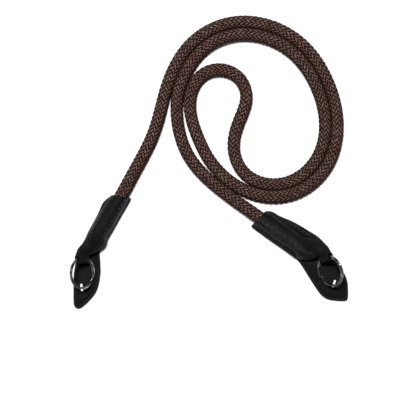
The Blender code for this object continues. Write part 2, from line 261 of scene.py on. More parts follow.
yarnLook = dict(
    gap=(0.0042, 0.0014, 0.0009),     # painted shade where one yarn dips below the next
    dark=(0.019, 0.0072, 0.0052),
    middle=(0.065, 0.034, 0.026),
    pale=(0.168, 0.117, 0.100),       # lighter floats, and the painted highlight on the crown of a float
    wine=(1.05, 0.86, 0.92),          # the hue drifts along the rope between these two tints
    tan=(0.97, 1.02, 0.95),
    hueScale=170.0,
    hueStops=(0.38, 0.62),
    paintedSideShade=0.42,                       # painted shade: how pale the braid stays on the rope's sides
    paintedSideShadeEnds=(0.05, 0.80),           # where the painted side shade fades, as a share of the rope's radius
    crownEnds=(0.50, 0.97),           # heights in the braid over which painted shade in the dips gives way to the crown's painted highlight
    toneStops=(0.0, 0.3, 0.6, 0.95),
    streakSlant=0.45,                 # filaments: long streaks that twist across the yarn
    streakStretch=(0.5, 9.0, 1.0),
    streakShare=0.5,
    streakDepth=0.00012,
    floatStretch=(0.42, 7.3),         # each float is a little paler or darker than the next
    floatShare=0.9,
    toneLift=0.12,
    roughness=0.62,
    coreDark=(0.010, 0.004, 0.003),
    corePale=(0.026, 0.012, 0.009),
    coreScale=900.0,
)


def makeYarnMaterial():
    material, tree, shader = newMaterial(
        "braidedYarn", Roughness=yarnLook["roughness"], Specular_IOR_Level=0.05)
    lay = addNode(tree, "ShaderNodeUVMap", uv_map="lay").outputs["UV"]
    parts = addNode(tree, "ShaderNodeSeparateXYZ", {0: lay})
    along, across = parts.outputs["X"], parts.outputs["Y"]
    slanted = addMath(tree, "ADD", across,
                      addMath(tree, "MULTIPLY", along, yarnLook["streakSlant"]))
    streakPlace = addNode(tree, "ShaderNodeCombineXYZ", {"X": along, "Y": slanted})
    streakScale = addNode(tree, "ShaderNodeVectorMath",
                          {0: streakPlace.outputs[0], 1: yarnLook["streakStretch"]},
                          operation="MULTIPLY")
    streaks = addNoise(tree, streakScale.outputs[0], 1.0, 3.0, Roughness=0.6)
    yarnNumber = addMath(tree, "FLOOR", across)
    alongScale, acrossScale = yarnLook["floatStretch"]
    floatPlace = addNode(tree, "ShaderNodeCombineXYZ", {
        "X": addMath(tree, "MULTIPLY", along, alongScale),
        "Y": addMath(tree, "MULTIPLY", yarnNumber, acrossScale)})
    floats = addNoise(tree, floatPlace.outputs[0], 1.0, 1.0)
    tone = addSum(tree, floats, yarnLook["floatShare"], streaks, yarnLook["streakShare"])
    # the yarn's height paints shade into the dips and a highlight onto the crowns
    crown = addNode(tree, "ShaderNodeAttribute", attribute_name="crown").outputs["Fac"]
    lit = addRange(tree, crown, yarnLook["crownEnds"], kind="SMOOTHSTEP")
    tone = addMath(tree, "MULTIPLY", addMath(tree, "ADD", tone, yarnLook["toneLift"]), lit,
                   clamped=True)
    # painted shade: the braid darkens towards the rope's sides
    shadeOnSides = addNode(tree, "ShaderNodeAttribute", attribute_name="shadeOnSides").outputs["Fac"]
    tone = addMath(tree, "MULTIPLY", tone, shadeOnSides)
    shades = [yarnLook[shade] for shade in ("gap", "dark", "middle", "pale")]
    colour = addRamp(tree, tone, yarnLook["toneStops"], shades)
    place = addNode(tree, "ShaderNodeTexCoord").outputs["Object"]
    drift = addNoise(tree, place, yarnLook["hueScale"], 1.0)
    tint = addRamp(tree, drift, yarnLook["hueStops"], (yarnLook["wine"], yarnLook["tan"]))
    tinted = addNode(tree, "ShaderNodeMix", {"Factor": 1.0, 6: colour, 7: tint},
                     data_type="RGBA", blend_type="MULTIPLY").outputs[2]
    tree.links.new(tinted, shader.inputs["Base Color"])
    bump = addBump(tree, streaks, 0.5, yarnLook["streakDepth"])
    tree.links.new(bump, shader.inputs["Normal"])
    return material


def makeCoreMaterial():
    material, tree, shader = newMaterial("braidCore", Roughness=0.9, Specular_IOR_Level=0.2)
    grain = addNode(tree, "ShaderNodeTexNoise", {"Scale": yarnLook["coreScale"],
                                                 "Detail": 2.0}).outputs["Fac"]
    colour = addRamp(tree, grain, (0.3, 0.7), (yarnLook["coreDark"], yarnLook["corePale"]))
    tree.links.new(colour, shader.inputs["Base Color"])
    return material


def onRope(line, travelled, along, angle, radius):
    # Places on the rope: distance along it, angle round it from its side, radius.
    ahead = np.gradient(line, travelled, axis=0)
    ahead /= np.linalg.norm(ahead, axis=1)[:, None]
    side = np.cross(ahead, (0, 0, 1))
    side /= np.linalg.norm(side, axis=1)[:, None]
    top = np.cross(side, ahead)
    along = np.clip(along, 0, travelled[-1])

    def read(rows):
        return np.stack([np.interp(along, travelled, rows[:, k]) for k in range(3)], axis=-1)

    places = read(line) + (read(side) * np.cos(angle)[..., None]
                           + read(top) * np.sin(angle)[..., None]) * radius[..., None]
    low = np.minimum(places[..., 2], braid["settles"]) / braid["settles"] - 1
    settled = braid["settles"] * np.exp(low)
    places[..., 2] = np.maximum(places[..., 2], 0) * (low == 0) + settled * (low < 0)
    return places


def makeYarns(name, line, travelled, turning, material):
    count = braid["yarnsEachWay"]
    ring = braid["middle"]
    along = np.linspace(0, travelled[-1], braid["sections"])
    yarn = np.arange(count)[:, None]
    angle = 2 * math.pi * yarn / count + turning * along * math.tan(braid["lay"]) / ring
    weave = np.cos((angle * count / math.pi - 0.5) * math.pi / 2)
    weave = np.tanh(braid["squareness"] * weave) / math.tanh(braid["squareness"])
    radius = ring + turning * braid["rise"] * weave
    shortWave, longWave = (along * wave for wave in braid["unevenWaves"])
    radius = radius + (braid["unevenness"] * np.sin(shortWave + yarn * braid["unevenShift"])
                       * np.sin(longWave + yarn))
    angle = angle + braid["wander"] * np.sin(along * 2 * math.pi / braid["wanderEvery"])
    lowest = ring - braid["rise"] - braid["thickness"] / 2
    highest = ring + braid["rise"] + braid["thickness"] / 2
    points, uv, crown, shadeOnSides = [], [], [], []
    for across, height in braid["profile"]:
        shift = across * braid["width"]
        level = np.sin(angle + shift * math.cos(braid["lay"]) / ring)
        # painted shade on the rope's sides, kept for the material
        t = np.clip((level - yarnLook["paintedSideShadeEnds"][0]) / np.diff(yarnLook["paintedSideShadeEnds"]), 0, 1)
        shadeOnSides.append(yarnLook["paintedSideShade"] + (1 - yarnLook["paintedSideShade"]) * t * t * (3 - 2 * t))
        points.append(onRope(line, travelled,
                             along - turning * shift * math.sin(braid["lay"]),
                             angle + shift * math.cos(braid["lay"]) / ring,
                             radius + height * braid["thickness"]))
        # height in the braid, which the material turns into painted shade and highlight
        crown.append((radius + height * braid["thickness"] - lowest) / (highest - lowest))
        mapped = (along * braid["mapLength"], yarn + across * braid["mapWidth"] + 0.5)
        uv.append(np.stack([np.broadcast_to(values, angle.shape) for values in mapped], axis=-1))
    points, uv, crown, shadeOnSides = (np.stack(rows, axis=2) for rows in (points, uv, crown, shadeOnSides))
    wide = len(braid["profile"])
    faces = np.concatenate([gridFaces(len(along), wide, k * len(along) * wide)
                            for k in range(count)])
    item = pieceFrom(name, points, faces[:, ::-1], material, uv)
    for kind, values in (("crown", crown), ("shadeOnSides", shadeOnSides)):
        painted = item.data.attributes.new(kind, "FLOAT", "POINT")
        painted.data.foreach_set("value", values.ravel())
    return item


def makeCore(line, travelled, material):
    along = np.linspace(0, travelled[-1], len(travelled) // braid["coreStep"])
    around = np.linspace(0, 2 * math.pi, braid["coreSides"], endpoint=False)
    along, around = np.meshgrid(along, around, indexing="ij")
    points = onRope(line, travelled, along, around, np.full(along.shape, braid["core"]))
    faces = gridFaces(*along.shape, wrapped=True).tolist()
    ends = [list(range(braid["coreSides"])),
            list(range(along.size - braid["coreSides"], along.size))[::-1]]
    return pieceFrom("ropeCore", points, faces + ends, material)


def makeRope():
    line, travelled = ropeLine(braid["sections"])
    yarnMaterial = makeYarnMaterial()
    overYarns = makeYarns("ropeYarnsOne", line, travelled, 1, yarnMaterial)
    underYarns = makeYarns("ropeYarnsTwo", line, travelled, -1, yarnMaterial)
    core = makeCore(line, travelled, makeCoreMaterial())
    for piece in (overYarns, underYarns, core):
        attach(piece, "strap")
        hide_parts("rope")


makeRope()
print("rope braided")


leatherLook = dict(
    deep=(0.0010, 0.0013, 0.0010),    # in the pores
    base=(0.0026, 0.0033, 0.0026),
    pale=(0.0074, 0.0085, 0.0072),    # on the pebbles
    rubbed=(0.030, 0.034, 0.032),     # painted sheen along a ridge, and wear with a painted highlight along a fold
    edge=(0.0085, 0.0090, 0.0098),    # the painted cut edge
    toneStops=(0.2, 0.62, 0.95),
    roughness=(0.50, 0.68),
    warpScale=400.0,                  # so that the pebbles aren't all alike
    warp=0.0011,
    pebbleRim=0.16,
    pebbleShare=0.35,
    patchScale=90.0,
    patchShare=0.65,
    wrinkleScale=260.0,
    wrinkleDepth=0.0005,
    mottleScale=620.0,                 # mottle breaks up the painted sheen and the wear
    mottleContrast=5.0,
    mottleStart=1.9,
    grain=dict(sleeveLeather=(0.00011, 1250.0), padLeather=(0.00010, 1150.0)),   # depth, scale
)


def paintOver(tree, share, under, colour):
    return addNode(tree, "ShaderNodeMix", {"Factor": share, 6: under, 7: (*colour, 1.0)},
                   data_type="RGBA").outputs[2]


def makeLeatherMaterial(name):
    grainDepth, grainScale = leatherLook["grain"][name]
    material, tree, shader = newMaterial(name, Specular_IOR_Level=0.11)
    place = addNode(tree, "ShaderNodeTexCoord").outputs["Object"]
    bend = addNode(tree, "ShaderNodeTexNoise", {"Vector": place, "Detail": 2.0,
                                                "Scale": leatherLook["warpScale"]})
    warped = addNode(tree, "ShaderNodeVectorMath",
                     {0: bend.outputs["Color"], 1: (leatherLook["warp"],) * 3, 2: place},
                     operation="MULTIPLY_ADD").outputs[0]
    cells = addNode(tree, "ShaderNodeTexVoronoi", {"Vector": warped, "Scale": grainScale},
                    feature="DISTANCE_TO_EDGE").outputs["Distance"]
    pebbles = addRange(tree, cells, (0.0, leatherLook["pebbleRim"]), kind="SMOOTHSTEP")
    wrinkles = addNoise(tree, place, leatherLook["wrinkleScale"], 5.0, Roughness=0.62,
                        Distortion=0.7)
    patches = addNoise(tree, place, leatherLook["patchScale"], 3.0)
    edge = addNode(tree, "ShaderNodeAttribute", attribute_name="edge").outputs["Fac"]
    tone = addSum(tree, pebbles, leatherLook["pebbleShare"], patches, leatherLook["patchShare"])
    shades = [leatherLook[shade] for shade in ("deep", "base", "pale")]
    hide = addRamp(tree, tone, leatherLook["toneStops"], shades)
    wearAndSheen = addNode(tree, "ShaderNodeAttribute", attribute_name="wearAndSheen").outputs["Fac"]
    mottle = addNoise(tree, place, leatherLook["mottleScale"], 3.0, Roughness=0.6)
    mottle = addMath(tree, "MULTIPLY", mottle, leatherLook["mottleContrast"])
    mottle = addMath(tree, "SUBTRACT", mottle, leatherLook["mottleStart"], clamped=True)
    broken = addMath(tree, "MULTIPLY", wearAndSheen, mottle, clamped=True)
    # the rubbed colour: painted sheen on the ridge, wear with a painted highlight along the fold
    # and cut edge
    rubbed = paintOver(tree, broken, hide, leatherLook["rubbed"])
    painted = paintOver(tree, edge, rubbed, leatherLook["edge"])
    tree.links.new(painted, shader.inputs["Base Color"])
    gloss = addRange(tree, patches, (0.3, 0.7), leatherLook["roughness"])
    tree.links.new(gloss, shader.inputs["Roughness"])
    coarse = addBump(tree, wrinkles, 0.6, leatherLook["wrinkleDepth"])
    fine = addBump(tree, pebbles, 0.7, grainDepth, Normal=coarse)
    tree.links.new(fine, shader.inputs["Normal"])
    return material


sleeveLeather = makeLeatherMaterial("sleeveLeather")
padLeather = makeLeatherMaterial("padLeather")
print("leather ready")


# Each row: seam x, seam y, fold x, fold y, height of the flange's middle, lean in radians,
# flange thickness, bulge radius, bulge centre above the flange's middle, bulge shift.
sleeve = dict(
    bulgeFall=3.0,            # how steeply the bulge drops to the flange
    crease=0.0016,
    creaseShare=0.3,          # at most this share of the bulge, so none on the loop
    fadeRows=1.5,             # rows over which the flange turns into the loop
    seamEdge=0.0005,
    foldEdge=0.0024,
    gap=0.0003,               # between the rope's end and the leather
    pastMouth=0.008,
    roomSides=40,
    stepsPerRow=7,
    sharpAngle=math.radians(42),
    mouthRounding=0.035,      # share by which the mouth's own section is drawn in
    seamGroove=0.00035,       # depth of the line between the two layers at the cut edge
    leastShare=dict(fold=0.12, seam=0.72),   # of its thickness that the leather keeps at an edge
    fromSeam=(0.0, 0.00008, 0.0002, 0.0005, 0.0009),    # places across it, near each edge
    fromFold=(0.0024, 0.0018, 0.0013, 0.0009, 0.0005, 0.00022, 0.00006, 0.0),
    middlePlaces=32,
    ropeSections=900,
    ropeInside=dict(left=0.0285, right=0.0335),
    columnWeights=(1, 1, 1, 1, 1, 0.004, 1, 0, 0, 0),   # what counts as distance between rows
    edgePaint=0.0003,
    ridgePlace=-0.0019,       # the painted sheen streak, from the middle of the bulge
    ridgeWidth=0.0018,
    # strength of the painted sheen along the ridge, for each sleeve
    ridgeSheen=dict(left=0.12, right=0.75),
    foldPlace=0.0010,         # lines of wear with a painted highlight, in from the fold and the cut edge
    foldWidth=0.0004,
    foldWearAndSheen=0.5,
    left=[
        (-0.0491, 0.0335, -0.0608, 0.0355, 0.00145, 0.0, 0.0028, 0.0054, 0.0039, 0.0005),
        (-0.0517, 0.0288, -0.0656, 0.0318, 0.00165, 0.0, 0.0028, 0.0054, 0.0039, -0.0005),
        (-0.0569, 0.0203, -0.0687, 0.0260, 0.00225, 0.0, 0.0028, 0.0054, 0.0039, -0.0004),
        (-0.0611, 0.0130, -0.0721, 0.0191, 0.00290, 0.0, 0.0028, 0.0054, 0.0039, 0.0),
        (-0.0638, 0.0082, -0.0747, 0.0143, 0.00340, 0.0, 0.0028, 0.0054, 0.0039, 0.0001),
        (-0.0656, 0.0046, -0.0769, 0.0098, 0.00410, 0.122, 0.0028, 0.0080, -0.0009, 0.0002),
        (-0.0690, 0.0016, -0.0789, 0.0057, 0.00560, 0.314, 0.0028, 0.0080, -0.0036, 0.0004),
        (-0.0730, -0.0007, -0.0809, 0.0021, 0.00790, 0.593, 0.0036, 0.0070, -0.0046, 0.0),
    ],
    right=[
        (0.0255, 0.0160, 0.0346, 0.0254, 0.00145, 0.0, 0.0028, 0.0054, 0.0039, 0.0010),
        (0.0274, 0.0145, 0.0380, 0.0252, 0.00155, 0.0, 0.0028, 0.0054, 0.0039, 0.0002),
        (0.0298, 0.0127, 0.0417, 0.0233, 0.00170, 0.0, 0.0028, 0.0054, 0.0039, 0.0001),
        (0.0374, 0.0073, 0.0483, 0.0203, 0.00230, 0.0, 0.0028, 0.0054, 0.0039, -0.0005),
        (0.0454, 0.0019, 0.0559, 0.0165, 0.00290, 0.0, 0.0028, 0.0054, 0.0039, -0.0010),
        (0.0509, -0.0021, 0.0616, 0.0130, 0.00330, 0.0, 0.0028, 0.0054, 0.0039, -0.0011),
        (0.0550, -0.0044, 0.0665, 0.0099, 0.00390, 0.105, 0.0028, 0.0085, -0.0009, -0.0006),
        (0.0605, -0.0048, 0.0700, 0.0065, 0.00530, 0.279, 0.0028, 0.0085, -0.0037, 0.0),
        (0.0653, -0.0035, 0.0725, 0.0030, 0.00760, 0.559, 0.0036, 0.0070, -0.0045, 0.0),
    ],
)

stitch = dict(
    fromSeam=0.0027,          # from the cut edge to the row of stitches
    fromFold=0.0026,          # from the fold to the row along the bulge
    valley=0.00016,           # how far the row is pulled into the leather
    valleyWidth=0.00045,
    pitch=0.0029,
    length=0.0021,
    width=0.00050,
    thickness=0.00032,
    standsOut=0.35,           # share of its thickness by which a stitch stands out on top
    standsOutUnder=0.05,
    taper=0.45,               # share of its width that it loses at its ends
    sides=8,
    steps=9,
    lookAhead=0.0001,
    fromMouth=0.0016,
    colour=(0.010, 0.0105, 0.0098),
    twistShade=0.4,           # how dark the thread is between its twists
    twistScale=3000.0,
    twistDepth=0.0001,
    roughness=0.45,
)

loop = dict(
    halfWidth=0.0042,
    bore=0.0018,
    outer=0.0029,
    lean=math.radians(48),
    height=0.00985337,        # so that the lower side of the ring is on the pad
    angles=(-36, -14, 10, 34, 56, 72, 84),
    sides=40,
)

ends = dict(
    left=dict(axle=(-0.0788, -0.0039), heading=math.radians(-90), seamSide=1),
    right=dict(axle=(0.0714, -0.0031), heading=math.radians(-71), seamSide=-1),
)


def loopRows(end):
    ahead = np.array((math.cos(end["heading"]), math.sin(end["heading"])))
    toFold = np.array((-ahead[1], ahead[0])) * -end["seamSide"]
    half = loop["halfWidth"] * math.cos(loop["lean"])
    rows = []
    for degrees in loop["angles"]:
        angle = math.radians(degrees)
        middle = np.array(end["axle"]) + ahead * loop["outer"] * math.sin(angle)
        rows.append((*(middle - toFold * half), *(middle + toFold * half), loop["height"],
                     loop["lean"], 2 * loop["outer"] * math.cos(angle), 0.0, 0.0, 0.0))
    return rows


def profilePlaces(half):
    # Distances across the leather, close together at the seam edge and the fold edge.
    seam = np.array(sleeve["fromSeam"]) - half
    fold = half - np.array(sleeve["fromFold"])
    middle = np.linspace(seam[-1], fold[0], sleeve["middlePlaces"] + 2)[1:-1]
    return np.concatenate([seam, middle, fold])


def topHeight(row, across):
    thick, bulge, lift, shift = row[6:]
    flat = np.full(across.shape, thick / 2)
    crease = min(sleeve["crease"], sleeve["creaseShare"] * max(bulge, 0))
    away = np.abs(across - shift)
    dome = lift + np.sqrt(np.clip(bulge ** 2 - away ** 2, 0, None))
    slope = lift - sleeve["bulgeFall"] * (away - bulge)
    crown = np.where(away < bulge, dome, slope)
    return (flat + crown + np.sqrt((flat - crown) ** 2 + crease ** 2)) / 2


def edgeShare(half, across, roundFold):
    # How much of its thickness the leather keeps near its two edges.
    rounding = np.where(across > 0, roundFold, sleeve["seamEdge"])
    inward = np.clip((half - np.abs(across)) / rounding, 0, 1)
    least = np.where(across > 0, sleeve["leastShare"]["fold"], sleeve["leastShare"]["seam"])
    return np.maximum(np.sqrt(1 - (1 - inward) ** 2), least)


def rowFrame(row):
    # Middle of the flange, direction to the fold, direction up, half the width.
    seam, fold, height, lean = np.array(row[:2]), np.array(row[2:4]), row[4], row[5]
    cross = (fold - seam) / np.linalg.norm(fold - seam)
    half = np.linalg.norm(fold - seam) / 2 / math.cos(lean)
    middle = np.array((*(seam + fold) / 2, height))
    side = np.array((*cross * math.cos(lean), math.sin(lean)))
    upward = np.array((*-cross * math.sin(lean), math.cos(lean)))
    return middle, side, upward, half


def stitchValleys(across, half, flangeShare):
    fromSeam = np.exp(-((across + half - stitch["fromSeam"]) / stitch["valleyWidth"]) ** 2)
    fromFold = np.exp(-((half - across - stitch["fromFold"]) / stitch["valleyWidth"]) ** 2)
    return (fromSeam + fromFold) * stitch["valley"] * flangeShare


def sleeveSection(row, flangeShare):
    middle, side, upward, half = rowFrame(row)
    across = profilePlaces(half)
    roundFold = sleeve["seamEdge"] + (sleeve["foldEdge"] - sleeve["seamEdge"]) * flangeShare
    valleys = stitchValleys(across, half, flangeShare)
    low = np.full(across.shape, -row[6] / 2) + valleys
    high = topHeight(row, across) - valleys
    centre = (low + high) / 2
    share = edgeShare(half, across, roundFold)
    under = middle + side * across[:, None] + upward * (centre + (low - centre) * share)[:, None]
    over = middle + side * across[:, None] + upward * (centre + (high - centre) * share)[:, None]
    groove = middle + side * (sleeve["seamGroove"] * flangeShare - half) + upward * centre[0]
    return np.concatenate([[groove], under, over[::-1]])


def sleeveWearAndSheen(row, flangeShare, ridgeSheen):
    # For each point of a section: how much it is painted as a cut edge, and how much it gets the
    # rubbed colour: painted sheen on the ridge, wear with a painted highlight by the fold and the
    # cut edge.
    half = rowFrame(row)[3]
    across = profilePlaces(half)
    cutEdge = np.clip(1 - (across + half) / sleeve["edgePaint"], 0, 1)
    ridge = np.exp(-((across - row[9] - sleeve["ridgePlace"]) / sleeve["ridgeWidth"]) ** 2)
    fold = np.exp(-((half - across - sleeve["foldPlace"]) / sleeve["foldWidth"]) ** 2)
    rim = np.exp(-((across + half - sleeve["foldPlace"]) / sleeve["foldWidth"]) ** 2)
    over = (ridge * ridgeSheen + (fold + rim) * sleeve["foldWearAndSheen"]) * flangeShare
    under = (fold + rim) * sleeve["foldWearAndSheen"] * flangeShare
    return (np.concatenate([[1.0], cutEdge, cutEdge[::-1]]),
            np.concatenate([[0.0], under, over[::-1]]))


def sleeveRows(name):
    rows = sleeve[name] + loopRows(ends[name])
    smooth = smoothThrough(rows, sleeve["stepsPerRow"], sleeve["columnWeights"])
    flanged = (len(sleeve[name]) - 1) * sleeve["stepsPerRow"]
    fading = sleeve["fadeRows"] * sleeve["stepsPerRow"]
    shares = np.clip((flanged - np.arange(len(smooth))) / fading, 0, 1)
    return smooth, shares


def tubeAlong(points, radius, sides):
    points = np.array(points)
    ahead = np.gradient(points, axis=0)
    ahead /= np.linalg.norm(ahead, axis=1)[:, None]
    side = np.cross(ahead, (0, 0, 1))
    side /= np.linalg.norm(side, axis=1)[:, None]
    top = np.cross(side, ahead)
    angle = np.linspace(0, 2 * math.pi, sides, endpoint=False)[None, :, None]
    grid = points[:, None] + (side[:, None] * np.cos(angle) + top[:, None] * np.sin(angle)) * radius
    faces = gridFaces(len(points), sides, wrapped=True).tolist()
    last = (len(points) - 1) * sides
    return grid, faces + [list(range(sides))[::-1], list(range(last, last + sides))]


def facesOutward(item):
    bm = bmesh.new()
    bm.from_mesh(item.data)
    bmesh.ops.recalc_face_normals(bm, faces=bm.faces[:])
    bm.to_mesh(item.data)
    bm.free()


def cutAway(item, cutter):
    facesOutward(cutter)
    cut = item.modifiers.new("cut", "BOOLEAN")
    cut.operation = "DIFFERENCE"
    cut.solver = "EXACT"
    cut.object = cutter
    bpy.context.view_layer.update()
    view = bpy.context.evaluated_depsgraph_get()
    mesh = bpy.data.meshes.new_from_object(item.evaluated_get(view))
    item.modifiers.remove(cut)
    item.data = mesh
    bpy.data.objects.remove(cutter, do_unlink=True)


def loopFrame(end):
    # X along the loop's axis towards the folded edge, Y from ring to sleeve, at the axis.
    ahead = Vector((math.cos(end["heading"]), math.sin(end["heading"]), 0))
    toFold = Vector((-ahead.y, ahead.x, 0)) * -end["seamSide"]
    xAxis = toFold * math.cos(loop["lean"]) + up * math.sin(loop["lean"])
    turn = Matrix((xAxis, -ahead, xAxis.cross(-ahead))).transposed()
    return Matrix.Translation((*end["axle"], loop["height"])) @ turn.to_4x4()


def makeThreadMaterial():
    material, tree, shader = newMaterial("waxedThread", Roughness=stitch["roughness"],
                                         Specular_IOR_Level=0.5)
    place = addNode(tree, "ShaderNodeTexCoord").outputs["Object"]
    twist = addNoise(tree, place, stitch["twistScale"], 2.0)
    dark = tuple(stitch["twistShade"] * value for value in stitch["colour"])
    colour = addRamp(tree, twist, (0.35, 0.65), (dark, stitch["colour"]))
    tree.links.new(colour, shader.inputs["Base Color"])
    bump = addBump(tree, twist, 0.5, stitch["twistDepth"])
    tree.links.new(bump, shader.inputs["Normal"])
    return material


def stitchRow(rows, shares, fromSeam, onTop):
    # The line that a row of stitches follows on the leather, and the direction away from it.
    line, away = [], []
    for row, share in zip(rows, shares):
        if share < 1:
            break
        middle, side, upward, half = rowFrame(row)
        across = stitch["fromSeam"] - half if fromSeam else half - stitch["fromFold"]
        valley = stitchValleys(np.array([across]), half, share)[0]
        if onTop:
            height = topHeight(row, np.array([across]))[0] - valley
            height += stitch["thickness"] * stitch["standsOut"]
        else:
            height = valley - row[6] / 2 - stitch["thickness"] * stitch["standsOutUnder"]
        line.append(middle + side * across + upward * height)
        away.append(upward if onTop else -upward)
    return np.array(line), np.array(away)


def readAt(place, gone, rows):
    return np.array([np.interp(place, gone, rows[:, k]) for k in range(3)])


def makeStitches(name, rows, shares):
    sides, steps = stitch["sides"], stitch["steps"]
    angle = np.linspace(0, 2 * math.pi, sides, endpoint=False)[:, None]
    points, faces = [], []
    for fromSeam in (True, False):
        for onTop in (True, False):
            line, away = stitchRow(rows, shares, fromSeam, onTop)
            gone = lengthsAlong(line)
            start = stitch["fromMouth"]
            while start + stitch["length"] < gone[-1]:
                first = len(points) * sides
                for step in range(steps):
                    t = step / (steps - 1)
                    at = start + t * stitch["length"]
                    place, out = readAt(at, gone, line), readAt(at, gone, away)
                    ahead = readAt(at + stitch["lookAhead"], gone, line) - place
                    sideways = np.cross(out, ahead)
                    sideways /= np.linalg.norm(sideways)
                    dip = abs(2 * t - 1) ** 3          # the ends go down into the leather
                    place = place - out * dip * stitch["thickness"]
                    shrink = 1 - stitch["taper"] * dip
                    points.append(place + sideways * np.cos(angle) * stitch["width"] / 2 * shrink
                                  + out * np.sin(angle) * stitch["thickness"] / 2 * shrink)
                faces += gridFaces(steps, sides, first, wrapped=True).tolist()
                faces += [list(range(first, first + sides))[::-1],
                          list(range(first + (steps - 1) * sides, first + steps * sides))]
                start += stitch["pitch"]
    item = pieceFrom("seamStitches_" + name, points, faces, waxedThread)
    facesOutward(item)
    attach(item, "strap")


def pastEnd(before, end, distance):
    return end + (end - before) / np.linalg.norm(end - before) * distance


def makeSleeve(name, ropeEnd):
    rows, shares = sleeveRows(name)
    sections = np.array([sleeveSection(row, share) for row, share in zip(rows, shares)])
    worn = np.array([sleeveWearAndSheen(row, share, sleeve["ridgeSheen"][name])
                     for row, share in zip(rows, shares)])
    sections[0] += (sections[0].mean(axis=0) - sections[0]) * sleeve["mouthRounding"]
    count = sections.shape[1]
    faces = gridFaces(len(sections), count, wrapped=True).tolist()
    last = (len(sections) - 1) * count
    caps = [list(range(count))[::-1], list(range(last, last + count))]
    item = pieceFrom("sleeveLeather_" + name, sections, faces + caps, sleeveLeather)
    for k, kind in enumerate(("edge", "wearAndSheen")):
        painted = item.data.attributes.new(kind, "FLOAT", "POINT")
        painted.data.foreach_set("value", worn[:, k].ravel())
    facesOutward(item)
    start = pastEnd(ropeEnd[1], ropeEnd[0], sleeve["gap"])
    stop = pastEnd(ropeEnd[-2], ropeEnd[-1], sleeve["pastMouth"])
    grid, tubeFaces = tubeAlong([start, *ropeEnd[1:], stop], rope["diameter"] / 2 + sleeve["gap"],
                                sleeve["roomSides"])
    cutAway(item, pieceFrom("room_" + name, grid, tubeFaces, sleeveLeather))
    reach = loop["halfWidth"] + loop["outer"]
    grid, tubeFaces = tubeAlong([(0, -reach, 0), (0, 0, 0), (0, reach, 0)], loop["bore"],
                                loop["sides"])
    turned = loopFrame(ends[name]) @ Matrix.Rotation(math.radians(90), 4, "Z")
    placed = np.array([turned @ Vector(p) for p in grid.reshape(-1, 3)])
    cutAway(item, pieceFrom("bore_" + name, placed, tubeFaces, sleeveLeather))
    item.data.shade_smooth()
    item.data.set_sharp_from_angle(angle=sleeve["sharpAngle"])
    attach(item, "strap")
    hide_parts("sleeve_" + name)
    makeStitches(name, rows, shares)


waxedThread = makeThreadMaterial()
ropeSections, ropeTravelled = ropeLine(sleeve["ropeSections"])
for endName, fromEnd in (("left", ropeSections), ("right", ropeSections[::-1])):
    makeSleeve(endName, fromEnd[ropeTravelled < sleeve["ropeInside"][endName]][::2])
print("sleeves stitched")


splitRing = dict(
    outer=0.020,
    wire=0.0013,              # width of the flat wire
    turn=0.0007,              # thickness of one turn
    split=0.00016,            # between the two turns
    jog=math.radians(13),     # half the stretch over which it steps to the other turn
    seat=0.0005,              # how far the wire runs behind the axis of its leather loop
    ends=math.radians(-150),
    steps=96,
    corner=0.00024,
    cornerSteps=4,
    bluntEnd=0.7,             # size of the wire's last section, as a share
    bluntTurn=0.006,          # radians by which it stands past the wire's end
)


steelLook = dict(
    tarnished=(0.050, 0.050, 0.047),
    dull=(0.16, 0.157, 0.150),
    bright=(0.52, 0.51, 0.49),
    toneStops=(0.40, 0.52, 0.62),
    tarnishScale=190.0,
    tarnishShare=0.7,
    rubbedScale=700.0,
    rubbedShare=0.3,
    rubbedDepth=0.00005,
    roughness=(0.10, 0.30),
)


def makeSteelMaterial():
    material, tree, shader = newMaterial("polishedNickel", Metallic=1.0)
    place = addNode(tree, "ShaderNodeTexCoord").outputs["Object"]
    rubbed = addNoise(tree, place, steelLook["rubbedScale"], 4.0, Roughness=0.7)
    tarnish = addNoise(tree, place, steelLook["tarnishScale"], 1.0)
    brightness = addSum(tree, rubbed, steelLook["rubbedShare"], tarnish, steelLook["tarnishShare"])
    shades = [steelLook[shade] for shade in ("tarnished", "dull", "bright")]
    colour = addRamp(tree, brightness, steelLook["toneStops"], shades)
    tree.links.new(colour, shader.inputs["Base Color"])
    gloss = addRange(tree, rubbed, (0.35, 0.7), steelLook["roughness"])
    tree.links.new(gloss, shader.inputs["Roughness"])
    bump = addBump(tree, rubbed, 0.15, steelLook["rubbedDepth"])
    tree.links.new(bump, shader.inputs["Normal"])
    return material


def wireSection():
    # The flat wire's section, its corners rounded.
    wide, thick, corner = splitRing["wire"] / 2, splitRing["turn"] / 2, splitRing["corner"]
    section = []
    for quarter in range(4):
        for step in range(splitRing["cornerSteps"] + 1):
            angle = math.radians(90 * quarter + 90 / splitRing["cornerSteps"] * step)
            cornerX = (wide - corner) * (1 if quarter in (0, 3) else -1)
            cornerY = (thick - corner) * (1 if quarter in (0, 1) else -1)
            section.append((cornerX + corner * math.cos(angle), cornerY + corner * math.sin(angle)))
    return section


